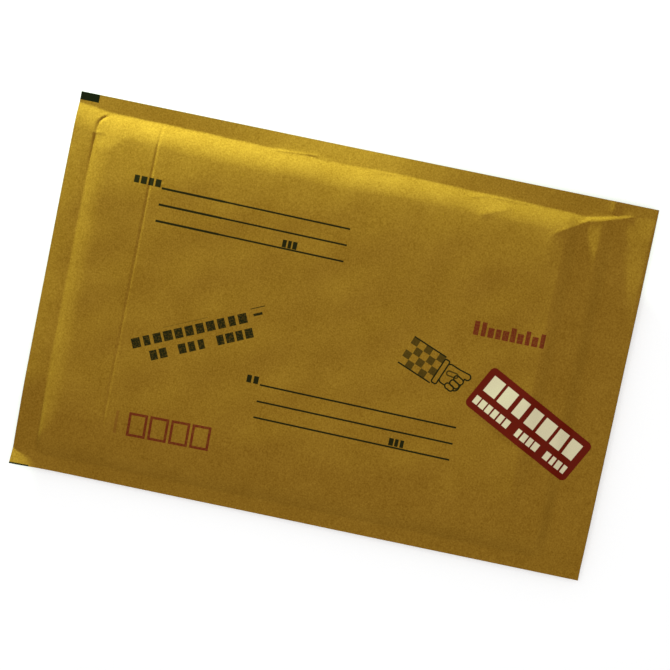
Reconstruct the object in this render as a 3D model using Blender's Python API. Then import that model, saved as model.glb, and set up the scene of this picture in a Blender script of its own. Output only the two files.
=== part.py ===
"""Padded mailer: a kraft paper envelope lined with bubble film, with a label stuck on its face.

Units are metres and +Z is up. The mailer lies on its back panel at Z = 0, printed face up.
X runs along its long side, from the open mouth at -X to the folded end at +X, and Y runs
across it, between the two side seals. Each layer is a pouch: front and back panels lofted
through sections along X, with a pocket lofted inside them. A section is a list of ribs,
each with its place along Y, its front height and its back height.
"""

import math

import bmesh
import bpy
from mathutils import Vector

# Outline
LENGTH = 0.333
WIDTH = 0.216
UPPER_SEAL = 0.009
LOWER_SEAL = 0.0075

# Layers, from the outside in
PAPER = 0.00035
LAYER_GAP = 0.0004
BUBBLE_FILM = 0.0032
FILM_WEB = 0.0005
FILM_EDGE = 0.0003
POCKET = 0.0046
BUBBLE_PITCH = 0.011

# Shape of a panel across the mailer: a steep side, then a slow crown on the front
SIDE_CLIMB = 0.014
CROWN = 0.0022
CROWN_REACH = 0.085
POCKET_INSET = 0.005

# Mouth: a plain paper strip, the rise over the edge of the padding, and the flap crease
STRIP = 0.0117
STRIP_SHARE = 0.66
DROOP = 0.006
DROOP_SHARE = 0.07
EDGE_RISE = 0.01
CREASE_AT = 0.0482
CREASE_WIDTH = 0.003
CREASE_DEPTH = 0.0004

# Folded end: a pressed margin, then two soft waves up to the full padding
FOLD_MARGIN = 0.0185
MARGIN_SHARE = 0.3
FIRST_WAVE = 0.0115
WAVE_SHARE = 0.78
SECOND_WAVE_AT = 0.0405
SECOND_WAVE = 0.009
FOLD_RADIUS = 0.0016
FOLD_EDGE_SHARE = 0.4
FOLD_PAPER = 0.0008
FILM_END = 0.003
POCKET_END = 0.0215
POCKET_TAPER = 0.012
POCKET_END_SHARE = 0.2

# Label
LABEL_LENGTH = 0.0708
LABEL_WIDTH = 0.027
LABEL_RADIUS = 0.003
LABEL_SHEET = 0.0003
LABEL_GAP = 0.0005
LABEL_FROM_FOLD = 0.0464
LABEL_FROM_LOWER_SIDE = 0.0824
LABEL_TURN = math.radians(-27.3)

# Fineness of the loft
CLIMB_STEPS = 5
FLAT_STEPS = 8
LONG_STEP = 0.024
SHORT_STEP = 0.003
LABEL_STEP = 0.006
CORNER_STEPS = 4
ROUND_STEPS = 4
SAME_PLACE = 0.0001

PADDING_RISE = POCKET / 2 + BUBBLE_FILM + LAYER_GAP
MIDDLE = PAPER + PADDING_RISE
MOUTH = -LENGTH / 2
FOLD = LENGTH / 2
LOW_LINE = LOWER_SEAL - WIDTH / 2
HIGH_LINE = WIDTH / 2 - UPPER_SEAL


def eased(share):
    """0 to 1 with a soft start and a soft end."""
    share = min(max(share, 0.0), 1.0)
    return share * share * (3 - 2 * share)


def climb(distance, width, power=2):
    """0 to 1 over a width, steepest at the start."""
    share = min(max(distance / width, 0.0), 1.0)
    return 1 - (1 - share) ** power


def climb_distance(share, width):
    """Distance at which climb() reaches a share."""
    return width * (1 - math.sqrt(1 - share))


def mouth_share(from_mouth):
    """Share of the full height near the mouth: low on the paper strip, full over the padding."""
    strip = STRIP_SHARE - DROOP_SHARE * (1 - climb(from_mouth, DROOP))
    return strip + (1 - strip) * climb(from_mouth - STRIP, EDGE_RISE)


def end_share(from_fold):
    """Share of the full height near the folded end: pressed margin, then two waves."""
    first = eased((from_fold - FOLD_MARGIN) / FIRST_WAVE)
    second = eased((from_fold - SECOND_WAVE_AT) / SECOND_WAVE)
    share = MARGIN_SHARE + (WAVE_SHARE - MARGIN_SHARE) * first
    return share + (1 - WAVE_SHARE) * second


def length_share(x):
    return mouth_share(x - MOUTH) * end_share(FOLD - x)


def side_distance(y):
    """Distance to the nearer side seal's inner line, negative on the seal."""
    return min(y - LOW_LINE, HIGH_LINE - y)


def crown(y):
    """Extra height of the front panel, which grows slowly away from the seals."""
    return CROWN * climb(side_distance(y), CROWN_REACH, 3)


def crease(x):
    """Depth of the straight pressed line where the flap end is folded over."""
    off = abs(x - MOUTH - CREASE_AT) / (CREASE_WIDTH / 2)
    return CREASE_DEPTH * max(1 - off, 0.0)


def front_rise(x, y):
    """Height of the front panel's inner face above the plane of the seals."""
    full = PADDING_RISE + crown(y) - crease(x)
    return length_share(x) * climb(side_distance(y), SIDE_CLIMB) * full


def back_drop(x, y):
    """Depth of the back panel's inner face below the plane of the seals."""
    return length_share(x) * climb(side_distance(y), SIDE_CLIMB) * PADDING_RISE


def fold_round(x):
    """Share of the paper's height left where it turns over at the folded end."""
    inwards = min((FOLD - x) / FOLD_RADIUS, 1.0)
    return FOLD_EDGE_SHARE + (1 - FOLD_EDGE_SHARE) * math.sqrt(1 - (1 - inwards) ** 2)


def spread(start, end, most):
    """Even steps from start to end, none longer than most, with both ends."""
    count = max(math.ceil((end - start) / most - SAME_PLACE), 1)
    return [start + (end - start) * k / count for k in range(count + 1)]


def stations(start, end):
    """Places along X for the loft, close together where the shape changes."""
    rise = MOUTH + STRIP
    crease_low = MOUTH + CREASE_AT - CREASE_WIDTH / 2
    crease_high = crease_low + CREASE_WIDTH
    wave_top = FOLD - SECOND_WAVE_AT - SECOND_WAVE
    places = spread(MOUTH, rise, SHORT_STEP)
    places += spread(rise, rise + EDGE_RISE, EDGE_RISE / 5)
    places += spread(rise + EDGE_RISE, crease_low, LONG_STEP)
    places += spread(crease_low, crease_high, CREASE_WIDTH / 2)
    places += spread(crease_high, wave_top, LONG_STEP)
    places += spread(wave_top, FOLD - FOLD_MARGIN, SHORT_STEP)
    places += spread(FOLD - FOLD_MARGIN, FOLD - FOLD_RADIUS, FOLD_MARGIN / 3)
    turns = (math.pi / 2 * k / ROUND_STEPS for k in range(ROUND_STEPS + 1))
    places += [FOLD - FOLD_RADIUS * (1 - math.sin(turn)) for turn in turns]
    kept = [start]
    for x in sorted(places):
        if x - kept[-1] > SAME_PLACE and end - x > SAME_PLACE:
            kept.append(x)
    return kept + [end]


def lines_across(inset):
    """Places along Y for the loft, from one side edge to the other, inset from the seals."""
    low, high = LOW_LINE + inset, HIGH_LINE - inset
    flat_low, flat_high = LOW_LINE + SIDE_CLIMB, HIGH_LINE - SIDE_CLIMB
    flat = spread(flat_low, flat_high, (flat_high - flat_low) / FLAT_STEPS)
    rising = spread(low, flat_low, (flat_low - low) / CLIMB_STEPS)[:-1]
    falling = spread(flat_high, high, (high - flat_high) / CLIMB_STEPS)[1:]
    return rising + flat + falling


def paper_outside(x):
    """One section of the envelope's outer face, with the flat seals at both sides."""
    rim = PAPER * fold_round(x)
    ribs = [(-WIDTH / 2, rim, rim)]
    for y in lines_across(0.0):
        front = (PAPER + front_rise(x, y)) * fold_round(x)
        back = (PAPER + back_drop(x, y)) * fold_round(x)
        ribs.append((y, front, back))
    return ribs + [(WIDTH / 2, rim, rim)]


def paper_inside(x):
    """One section of the envelope's inner face, closed to a line at each side seal."""
    return [(y, front_rise(x, y), back_drop(x, y)) for y in lines_across(0.0)]


def film_outside(x):
    """One section of the lining's outer face, which follows the paper; its edges are crushed."""
    edge_share = (FILM_EDGE + LAYER_GAP) / (length_share(x) * PADDING_RISE)
    ribs = []
    for y in lines_across(climb_distance(edge_share, SIDE_CLIMB)):
        front = max(front_rise(x, y) - LAYER_GAP, FILM_EDGE)
        back = max(back_drop(x, y) - LAYER_GAP, FILM_EDGE)
        ribs.append((y, front, back))
    return ribs


def bubble_tops(x, y):
    """Front and back heights of the bubbles' tops, which bound the pocket."""
    inwards = side_distance(y) - POCKET_INSET
    across = climb(inwards, SIDE_CLIMB - POCKET_INSET)
    along = eased((FOLD - x - POCKET_END) / POCKET_TAPER)
    share = across * (POCKET_END_SHARE + (1 - POCKET_END_SHARE) * along)
    return share * (POCKET / 2 + crown(y)), share * POCKET / 2


def film_inside(x, row):
    """One section of the pocket, on a triangular lattice whose every third point is a bubble.

    The other points lie on the flat web between the bubbles, against the paper. No point
    of the lattice comes closer to the pocket's sides than a quarter of a step.
    """
    step = BUBBLE_PITCH / math.sqrt(3)
    low, high = LOW_LINE + POCKET_INSET, HIGH_LINE - POCKET_INSET
    first = math.ceil((low + step / 4) / step - row / 2)
    last = math.floor((high - step / 4) / step - row / 2)
    ribs = [(low, 0.0, 0.0)]
    for column in range(first, last + 1):
        y = step * (column + row / 2)
        front, back = bubble_tops(x, y)
        if (column - row) % 3:
            front = max(front, front_rise(x, y) - LAYER_GAP - FILM_WEB)
            back = max(back, back_drop(x, y) - LAYER_GAP - FILM_WEB)
        ribs.append((y, front, back))
    return ribs + [(high, 0.0, 0.0)]


def film_end(x):
    """The last section of the pocket, where the plies meet."""
    return [(y, *bubble_tops(x, y)) for y in lines_across(POCKET_INSET)]


class Loft:
    """Front and back rows of vertices through sections; where a rib has no height they share one."""

    def __init__(self, bm, sections):
        self.front = []
        self.back = []
        for x, ribs in sections:
            front = [bm.verts.new((x, y, MIDDLE + rise)) for y, rise, _ in ribs]
            back = [
                bm.verts.new((x, y, MIDDLE - drop)) if rise + drop else upper
                for upper, (y, rise, drop) in zip(front, ribs)
            ]
            self.front.append(front)
            self.back.append(back)
        self.skin(bm)

    def skin(self, bm):
        """Faces over both panels, along their side edges and over the closed end."""
        for rows in (self.front, self.back):
            for near, far in zip(rows, rows[1:]):
                stitch(bm, near, far, 1)
        for side in (0, -1):
            front = [row[side] for row in self.front]
            stitch(bm, front, [row[side] for row in self.back], 0)
        stitch(bm, self.front[-1], self.back[-1], 1)


def stitch(bm, first, second, axis):
    """Triangles between two rows of vertices, each ordered along the same axis."""
    i = j = 0
    while i < len(first) - 1 or j < len(second) - 1:
        corners = [first[i], second[j]]
        ends_first = i == len(first) - 1
        ends_second = j == len(second) - 1
        if ends_second or not ends_first and first[i + 1].co[axis] <= second[j + 1].co[axis]:
            i += 1
            corners.append(first[i])
        else:
            j += 1
            corners.append(second[j])
        if len(set(corners)) == 3:
            bm.faces.new(corners)


def pouch(name, outside, inside):
    """A closed solid open at the mouth: an outer loft with a pocket lofted inside it."""
    bm = bmesh.new()
    shell = Loft(bm, outside)
    pocket = Loft(bm, inside)
    stitch(bm, shell.front[0], pocket.front[0], 1)
    stitch(bm, shell.back[0], pocket.back[0], 1)
    for side in (0, -1):
        corners = (shell.front[0][side], pocket.front[0][side], shell.back[0][side])
        bm.faces.new(corners)
    return finished(name, bm)


def finished(name, bm):
    """Makes an object of the bmesh, with its faces pointing out and its smooth parts smooth."""
    bmesh.ops.recalc_face_normals(bm, faces=bm.faces)
    mesh = bpy.data.meshes.new(name)
    bm.to_mesh(mesh)
    bm.free()
    mesh.shade_smooth()
    mesh.set_sharp_from_angle(angle=math.radians(40))
    obj = bpy.data.objects.new(name, mesh)
    bpy.context.scene.collection.objects.link(obj)
    return obj


def kraft_envelope():
    """One sheet of paper folded at +X and sealed along both sides, open at -X."""
    outside = [(x, paper_outside(x)) for x in stations(MOUTH, FOLD)]
    inside = [(x, paper_inside(x)) for x in stations(MOUTH, FOLD - FOLD_PAPER)]
    return pouch("kraft_envelope", outside, inside)


def bubble_lining():
    """One web of bubble film folded at +X, which lines the paper from the strip on."""
    start, end = MOUTH + STRIP + LAYER_GAP, FOLD - POCKET_END
    outside = [(x, film_outside(x)) for x in stations(start, FOLD - FILM_END)]
    rows = spread(start, end, BUBBLE_PITCH / 2)
    inside = [(x, film_inside(x, row)) for row, x in enumerate(rows[:-1])]
    return pouch("bubble_lining", outside, inside + [(end, film_end(end))])


def label_outline():
    """Corner points of the label's rounded rectangle, counter-clockwise about its centre."""
    points = []
    corners = ((1, 1, 0), (-1, 1, 90), (-1, -1, 180), (1, -1, 270))
    for side, end, start in corners:
        centre_x = side * (LABEL_LENGTH / 2 - LABEL_RADIUS)
        centre_y = end * (LABEL_WIDTH / 2 - LABEL_RADIUS)
        for k in range(CORNER_STEPS + 1):
            angle = math.radians(start + 90 * k / CORNER_STEPS)
            across = centre_x + LABEL_RADIUS * math.cos(angle)
            points.append((across, centre_y + LABEL_RADIUS * math.sin(angle), 0.0))
    return points


def cut_across(bm, axis, half):
    """Cuts the flat label into strips along one axis, so that it can follow the padding."""
    for place in spread(-half, half, LABEL_STEP)[1:-1]:
        bmesh.ops.bisect_plane(
            bm,
            geom=bm.verts[:] + bm.edges[:] + bm.faces[:],
            plane_co=axis * place,
            plane_no=axis,
        )


def red_label():
    """A rounded label on the front panel, bent to the padding under it."""
    bm = bmesh.new()
    bm.faces.new([bm.verts.new(point) for point in label_outline()])
    cut_across(bm, Vector((1, 0, 0)), LABEL_LENGTH / 2)
    cut_across(bm, Vector((0, 1, 0)), LABEL_WIDTH / 2)
    cosine, sine = math.cos(LABEL_TURN), math.sin(LABEL_TURN)
    for v in bm.verts:
        x = FOLD - LABEL_FROM_FOLD + v.co.x * cosine - v.co.y * sine
        y = LABEL_FROM_LOWER_SIDE - WIDTH / 2 + v.co.x * sine + v.co.y * cosine
        v.co = (x, y, MIDDLE + PAPER + front_rise(x, y) + LABEL_GAP)
    top = bmesh.ops.extrude_face_region(bm, geom=bm.faces[:])["geom"]
    for v in top:
        if isinstance(v, bmesh.types.BMVert):
            v.co.z += LABEL_SHEET
    return finished("red_label", bm)


def painted(obj, colour, roughness, transmission=0.0):
    """Gives an object its own Principled material."""
    material = bpy.data.materials.new(obj.name)
    material.use_nodes = True
    shader = material.node_tree.nodes["Principled BSDF"]
    shader.inputs["Base Color"].default_value = (*colour, 1.0)
    shader.inputs["Roughness"].default_value = roughness
    shader.inputs["Metallic"].default_value = 0.0
    shader.inputs["Transmission Weight"].default_value = transmission
    material.diffuse_color = (*colour, 1.0)
    obj.data.materials.append(material)


def main():
    for obj in list(bpy.data.objects):
        bpy.data.objects.remove(obj)
    painted(kraft_envelope(), (0.27, 0.14, 0.018), 0.75)
    painted(bubble_lining(), (0.72, 0.74, 0.74), 0.25, 0.3)
    painted(red_label(), (0.16, 0.008, 0.006), 0.5)


main()
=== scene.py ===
# %% [markdown]
# # A padded mailer
# A padded mailer is a kraft paper envelope with a lining of bubble film. This script
# dresses the plain solids of that mailer for its photograph: fine paper with creases and
# print, film with its bubbles, and a label stuck on top.
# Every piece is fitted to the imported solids, so the first step loads them.

# %% The fixed frame
import math

import bmesh
import bpy
import numpy as np
from mathutils import Matrix, Vector


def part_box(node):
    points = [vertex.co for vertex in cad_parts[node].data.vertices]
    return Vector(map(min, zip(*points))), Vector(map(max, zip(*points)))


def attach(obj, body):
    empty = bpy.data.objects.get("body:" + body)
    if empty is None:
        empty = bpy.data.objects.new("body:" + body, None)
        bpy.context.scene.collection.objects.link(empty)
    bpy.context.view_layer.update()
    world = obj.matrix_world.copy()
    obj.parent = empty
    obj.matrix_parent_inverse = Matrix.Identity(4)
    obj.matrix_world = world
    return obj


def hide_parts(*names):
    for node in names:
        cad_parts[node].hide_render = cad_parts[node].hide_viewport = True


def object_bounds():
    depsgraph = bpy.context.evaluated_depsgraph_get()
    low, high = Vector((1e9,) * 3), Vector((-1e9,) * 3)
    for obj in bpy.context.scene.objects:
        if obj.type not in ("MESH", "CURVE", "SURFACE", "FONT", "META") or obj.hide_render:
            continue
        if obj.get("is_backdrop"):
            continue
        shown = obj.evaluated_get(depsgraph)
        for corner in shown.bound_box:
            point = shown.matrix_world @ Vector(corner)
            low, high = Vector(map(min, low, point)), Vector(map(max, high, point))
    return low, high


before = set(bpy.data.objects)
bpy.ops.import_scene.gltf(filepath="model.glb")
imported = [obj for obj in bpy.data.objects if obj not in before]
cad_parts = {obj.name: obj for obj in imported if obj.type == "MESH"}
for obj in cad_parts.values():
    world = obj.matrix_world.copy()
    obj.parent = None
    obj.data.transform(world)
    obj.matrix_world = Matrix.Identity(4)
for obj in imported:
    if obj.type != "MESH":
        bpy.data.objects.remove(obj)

MM = 0.001
cad_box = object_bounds()
paper_low, paper_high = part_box("kraft_envelope")
film_low, film_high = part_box("bubble_lining")
label_low, label_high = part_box("red_label")

MOUTH, FOLD = paper_low.x, paper_high.x
SIDE = paper_high.y
edge = [v.co.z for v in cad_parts["kraft_envelope"].data.vertices if v.co.y > SIDE - 0.1 * MM]
SEAL = (min(edge) + max(edge)) / 2
print(f"mailer {1000 * (FOLD - MOUTH):.1f} x {2000 * SIDE:.1f} mm, seals {1000 * SEAL:.2f} mm up")

# %% [markdown]
# ## The camera
# The photograph looks almost straight down, and the mailer is turned in it. A camera can be
# placed by hand until the corners match, but here its place was worked out backwards: the
# four corners of a flat rectangle of known size gave the aim, the lean and the roll. They
# are kept as plain named values, and the camera is built from them as a small matrix.

# %% The camera
LENS = 85
CAMERA_AIM = Vector((1.69 * MM, 1.77 * MM, SEAL))
CAMERA_DISTANCE = 0.9007
CAMERA_LEAN = math.radians(4.14)
CAMERA_HEADING = math.radians(83.4)
CAMERA_ROLL = math.radians(11.66)


def make_camera():
    """A camera that looks down at the mailer, leaning a little towards its upper side."""
    back = Vector((
        math.sin(CAMERA_LEAN) * math.cos(CAMERA_HEADING),
        math.sin(CAMERA_LEAN) * math.sin(CAMERA_HEADING),
        math.cos(CAMERA_LEAN),
    ))
    up = Vector((-math.sin(CAMERA_ROLL), math.cos(CAMERA_ROLL), 0.0))
    up = (up - back * up.dot(back)).normalized()
    turn = Matrix((up.cross(back), up, back)).transposed()
    camera = bpy.data.objects.new("camera", bpy.data.cameras.new("camera"))
    camera.data.lens = LENS
    camera.data.clip_start = 0.01
    camera.matrix_world = Matrix.Translation(CAMERA_AIM + back * CAMERA_DISTANCE) @ turn.to_4x4()
    bpy.context.scene.collection.objects.link(camera)
    bpy.context.scene.camera = camera
    return camera


camera = make_camera()
print("camera at", tuple(round(c, 3) for c in camera.location))

# %% [markdown]
# ## Node maths as Python
# Print, grain and stains are drawn by shader nodes, and the bubbles are placed by geometry
# nodes. Both are easier to read as expressions, so one small class wraps a node's output:
# adding two of them adds a Math node. Every other node comes from one method.

# %% A graph and its fields
class Field:
    """A number that varies over a surface. Arithmetic on it adds Math nodes to its tree."""

    def __init__(self, graph, socket):
        self.graph = graph
        self.socket = socket

    def math(self, operation, *others):
        """A Math node with this field as its first input."""
        inputs = dict(enumerate((self, *others)))
        return self.graph.add("ShaderNodeMath", {"operation": operation}, inputs)

    def out(self, name):
        """Another output of the same node."""
        return Field(self.graph, self.socket.node.outputs[name])

    def __add__(self, other):
        return self.math("ADD", other)

    def __radd__(self, other):
        return self.math("ADD", other)

    def __sub__(self, other):
        return self.math("SUBTRACT", other)

    def __rsub__(self, other):
        return self.graph.add("ShaderNodeMath", {"operation": "SUBTRACT"}, {0: other, 1: self})

    def __mul__(self, other):
        return self.math("MULTIPLY", other)

    def __rmul__(self, other):
        return self.math("MULTIPLY", other)

    def __truediv__(self, other):
        return self.math("DIVIDE", other)

    def __abs__(self):
        return self.math("ABSOLUTE")

    def floor(self):
        """The whole number below."""
        return self.math("FLOOR")

    def least(self, other):
        """The smaller of two."""
        return self.math("MINIMUM", other)

    def most(self, other):
        """The larger of two."""
        return self.math("MAXIMUM", other)

    def above(self, limit):
        """1 where the number is over a limit, else 0."""
        return self.math("GREATER_THAN", limit)

    def clamped(self):
        """The same number kept from 0 to 1."""
        clamp = self.math("ADD", 0.0)
        clamp.socket.node.use_clamp = True
        return clamp


class Graph:
    """Adds nodes to one tree: the settings come first, then the values or links."""

    def __init__(self, tree):
        self.tree = tree

    def add(self, kind, settings=None, inputs=None, output=0):
        """One node of any kind, as the field of one of its outputs."""
        node = self.tree.nodes.new(kind)
        for name, value in (settings or {}).items():
            setattr(node, name, value)
        for name, value in (inputs or {}).items():
            self.join(node.inputs[name], value)
        return Field(self, node.outputs[output]) if node.outputs else node

    def join(self, socket, value):
        """Links a field to a socket, or sets a plain value there."""
        if isinstance(value, Field):
            self.tree.links.new(value.socket, socket)
        else:
            socket.default_value = value

    def mixed(self, share, first, second):
        """A colour between two others."""
        settings = {"data_type": "RGBA"}
        return self.add("ShaderNodeMix", settings, {"Factor": share, 6: first, 7: second}, 2)

    def noise(self, place, scale, detail, distortion=0.0):
        """A soft random field over a place."""
        inputs = {"Vector": place, "Scale": scale, "Detail": detail, "Distortion": distortion}
        return self.add("ShaderNodeTexNoise", inputs=inputs)

    def bump(self, height, rise, strength=1.0):
        """A normal bent as if the surface rose by the field times the rise."""
        inputs = {"Strength": strength, "Distance": rise, "Height": height}
        return self.add("ShaderNodeBump", inputs=inputs)


def linear(*rgb):
    """A colour in screen numbers, 0 to 255, turned into the numbers that shaders use."""
    shares = [c / 255 for c in rgb]
    bent = [c / 12.92 if c <= 0.04045 else ((c + 0.055) / 1.055) ** 2.4 for c in shares]
    return (*bent, 1.0)


def new_material(name):
    """An empty node material, as a material and its graph."""
    material = bpy.data.materials.new(name)
    material.use_nodes = True
    material.node_tree.nodes.clear()
    return material, Graph(material.node_tree)


print("kraft brown in linear light:", [round(c, 4) for c in linear(137, 102, 31)])

# %% [markdown]
# ## The stage
# The mailer lies on a plain white table. The photograph's light is mostly soft light from
# overhead, with one low lamp at the upper left that only grazes the paper: the flat paper
# hardly feels it, while every slope that faces it flares up, and every slope that turns
# away keeps the soft light alone. So the world gives one half of the soft light, a wide
# panel above gives the other half, and one small lamp stands just above the table. The
# table adds some brightness of its own to what the camera sees, little near the mailer, so
# that it still holds the shadow, and more far away, where no lamp reaches, so that it melts
# into the white behind it.

# %% The stage and its light
GLOW = 0.48
TABLE = 0.8
TABLE_REACH, TABLE_LEVEL = 3.0, -0.2 * MM
TABLE_LIFT, FAR_LIFT = 0.32, 0.64
LIFT_START, LIFT_LENGTH = 0.3, 0.9
KEY_PLACE = Vector((-0.30, 0.48, 0.043))
KEY_POWER = 8.0
KEY_SIZE = (0.1, 0.02)
KEY_COLOUR = (1.02, 1.42, 1.02)
TOP_PLACE = Vector((0.0, 0.0, 1.3))
TOP_POWER = 8.4
TOP_SIZE = (1.2, 1.2)
LAMP_TARGET = Vector((0.0, 0.0, 0.014))


def seen_directly(graph):
    """1 for rays from the camera and for mirror and see-through rays, else 0."""
    path = graph.add("ShaderNodeLightPath", output="Is Camera Ray")
    return path.most(path.out("Is Glossy Ray")).most(path.out("Is Transmission Ray"))


def make_world():
    """A world that lights the mailer with a soft glow and looks plain white."""
    world = bpy.data.worlds.new("studio glow")
    world.use_nodes = True
    world.node_tree.nodes.clear()
    graph = Graph(world.node_tree)
    direct = seen_directly(graph)
    strength = GLOW + (1 - GLOW) * direct
    white = graph.add("ShaderNodeBackground", inputs={"Color": (1, 1, 1, 1), "Strength": strength})
    graph.add("ShaderNodeOutputWorld", inputs={"Surface": white})
    bpy.context.scene.world = world


def make_table():
    """A white table just under the mailer, which grows whiter far away."""
    mesh = bpy.data.meshes.new("table")
    signs = ((-1, -1), (1, -1), (1, 1), (-1, 1))
    corners = [(a * TABLE_REACH, b * TABLE_REACH, TABLE_LEVEL) for a, b in signs]
    mesh.from_pydata(corners, [], [(0, 1, 2, 3)])
    table = bpy.data.objects.new("table", mesh)
    bpy.context.scene.collection.objects.link(table)
    material, graph = new_material("white table")
    paint = graph.add("ShaderNodeBsdfDiffuse", inputs={"Color": (TABLE, TABLE, TABLE, 1)})
    place = graph.add("ShaderNodeTexCoord", output="Object")
    away = graph.add("ShaderNodeVectorMath", {"operation": "LENGTH"}, {0: place}, "Value")
    far = ((away - LIFT_START) / LIFT_LENGTH).clamped()
    near = TABLE_LIFT / FAR_LIFT
    shade = graph.mixed(far, (near, near, near, 1), (1, 1, 1, 1))
    lift = seen_directly(graph) * FAR_LIFT
    glow = graph.add("ShaderNodeEmission", inputs={"Color": shade, "Strength": lift})
    both = graph.add("ShaderNodeAddShader", inputs={0: paint, 1: glow})
    graph.add("ShaderNodeOutputMaterial", inputs={"Surface": both})
    mesh.materials.append(material)
    table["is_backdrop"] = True


def make_lamp(name, place, size, power, colour):
    """A rectangular lamp that faces the mailer, hidden from the camera."""
    light = bpy.data.lights.new(name, "AREA")
    light.shape = "RECTANGLE"
    light.size, light.size_y = size
    light.energy = power
    light.color = colour
    lamp = bpy.data.objects.new(name, light)
    aim = (LAMP_TARGET - place).to_track_quat("-Z", "Y").to_matrix().to_4x4()
    lamp.matrix_world = Matrix.Translation(place) @ aim
    lamp.visible_camera = False
    bpy.context.scene.collection.objects.link(lamp)


make_world()
make_table()
make_lamp("grazing lamp", KEY_PLACE, KEY_SIZE, KEY_POWER, KEY_COLOUR)
make_lamp("overhead panel", TOP_PLACE, TOP_SIZE, TOP_POWER, (1, 1, 1))
bpy.context.scene.view_settings.view_transform = "Standard"
print("world, table and two lamps are in place")

# %% [markdown]
# ## The form of the paper
# The front panel is one sheet that is pressed flat in two side seals, rises steeply over
# the edge of the padding and then crowns slowly to the middle. Along its length it starts
# on a plain strip at the open mouth, steps up over the edge of the lining, and goes down in
# two soft waves to a pressed margin at the fold. Such a form could be sculpted or
# simulated, but it follows rules, so it is written as heights over a place (x, y). The
# small marks of handling are added to it one by one: a crease, a dart, a crisp hip at one
# corner, small pleats, a border that bends down and a corner that curls up. Under a grazing
# lamp a slope of one degree already shows, so these heights are fractions of a millimetre.

# %% Curves that the form is made of
def ease(t):
    """0 to 1 with a soft start and a soft end."""
    t = np.clip(t, 0, 1)
    return t * t * (3 - 2 * t)


def settle(t, power=2):
    """0 to 1, steepest at the start."""
    return 1 - (1 - np.clip(t, 0, 1)) ** power


def hump(offset, width):
    """1 at no offset, falling off softly on both sides."""
    return np.exp(-((offset / width) ** 2))


# %% The border and the padding
SHEET = 0.2 * MM
UPPER_BORDER, LOWER_BORDER, SOFT_FOOT = 9.1 * MM, 7.4 * MM, 1 * MM
STRIP = 12.8 * MM
PAD_RISE, LOWER_CLIMB = 4.8 * MM, 14.5 * MM
CROWN, CROWN_REACH = 4.1 * MM, 49 * MM
BACK_CLIMB = 14 * MM
SEAL_X = np.array([
    -166, -156, -150, -144, -100, -60, -35, -22, 20, 45, 80, 110, 127, 135, 140, 145, 150, 166,
]) * MM
SEAL_OFF = np.array([
    3.1, 2, 1.1, 0.6, 0.4, -0.2, 0.2, -0.9, -0.3, -0.8, -1.5, -1.8, -2.5, -1, 0, 1.6, 3, 3.4,
]) * MM
RIPPLE, RIPPLE_LENGTH = 0.1 * MM, 3.7 * MM
CLIMB_X = np.array([-166, -150, -115, -100, -20, 20, 108, 113, 121, 128, 151, 158]) * MM
UPPER_CLIMB = np.array([14.5, 13, 13, 14.5, 14.2, 13, 12, 11, 7.5, 2.4, 2.2, 14.5]) * MM
CORNER_DROP, MOUTH_DROP, STRIP_DROP = 0.32, 0.12, 0.6


def upper_line(x):
    """The inner line of the upper seal: it wanders, and runs nearer to the edge at both ends."""
    wander = np.interp(x, SEAL_X, SEAL_OFF)
    return SIDE - UPPER_BORDER + wander + RIPPLE * np.sin(x / RIPPLE_LENGTH + 1)


def lower_line(x):
    """The inner line of the lower seal."""
    return -SIDE + LOWER_BORDER + 1.5 * MM * ease((MOUTH + STRIP + 1 * MM - x) / (2 * MM))


def side_distance(x, y):
    """Distance in from the nearer seal line, softened at its start, negative on the border."""
    inwards = np.minimum(upper_line(x) - y, y - lower_line(x))
    return np.where(inwards > 0, inwards * inwards / (np.abs(inwards) + SOFT_FOOT), inwards)


STRIP_SHARE, DROOP_SHARE, DROOP = 0.58, 0.13, 12 * MM
RIDGE_CLIMB = 11.5 * MM
MARGIN_SHARE, MARGIN, SPRING = 0.16, 20.3 * MM, 0.12
FIRST_WAVE = 10.7 * MM
SHELF_DROP, SECOND_WAVE_AT, SECOND_WAVE = 0.36, 40 * MM, 9.5 * MM


def mouth_share(x, y=0.0):
    """Share of the full height near the mouth: a strip, then the ridge, slower at its upper end."""
    inwards = x - MOUTH
    strip = STRIP_SHARE - DROOP_SHARE * (1 - settle(inwards / DROOP))
    climb = RIDGE_CLIMB * (1 + 1.2 * ease((y - 78 * MM) / (14 * MM)))
    return strip + (1 - strip) * settle((inwards - STRIP) / climb)


def fold_share(x, y):
    """Share of the full height near the fold: two waves down, then a small springy rise."""
    inwards = FOLD - x
    shelf = SHELF_DROP * (0.3 + 0.7 * ease((y + 90 * MM) / (45 * MM)))
    outer = 1 - ease((inwards - MARGIN) / FIRST_WAVE)
    inner = 1 - ease((inwards - SECOND_WAVE_AT) / SECOND_WAVE)
    spring = SPRING * ease((MARGIN + 1 * MM - inwards) / MARGIN)
    return 1 - shelf * inner - (1 - MARGIN_SHARE - shelf) * outer + spring


def front_padding(x, y):
    """Height of the front panel over the plane of the seals, without any creases.

    Both upper corners are lower, and the side slope at the one by the fold is short and steep.
    The plain strip at the mouth slumps towards its lower end.
    """
    side = side_distance(x, y)
    climb = np.where(y > 0, np.interp(x, CLIMB_X, UPPER_CLIMB), LOWER_CLIMB)
    full = PAD_RISE * settle(side / climb) + CROWN * settle(side / CROWN_REACH, 3)
    by_fold = CORNER_DROP * ease((x - 108 * MM) / (22 * MM)) * ease((y - 50 * MM) / (45 * MM))
    by_mouth = MOUTH_DROP * ease((-100 * MM - x) / (30 * MM)) * ease((y - 50 * MM) / (35 * MM))
    low_end = ease((-52 * MM - y) / (45 * MM))
    on_strip = STRIP_DROP * ease((MOUTH + STRIP + 3 * MM - x) / (4 * MM)) * low_end
    return full * (1 - by_fold - by_mouth - on_strip) * mouth_share(x, y) * fold_share(x, y)


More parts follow.
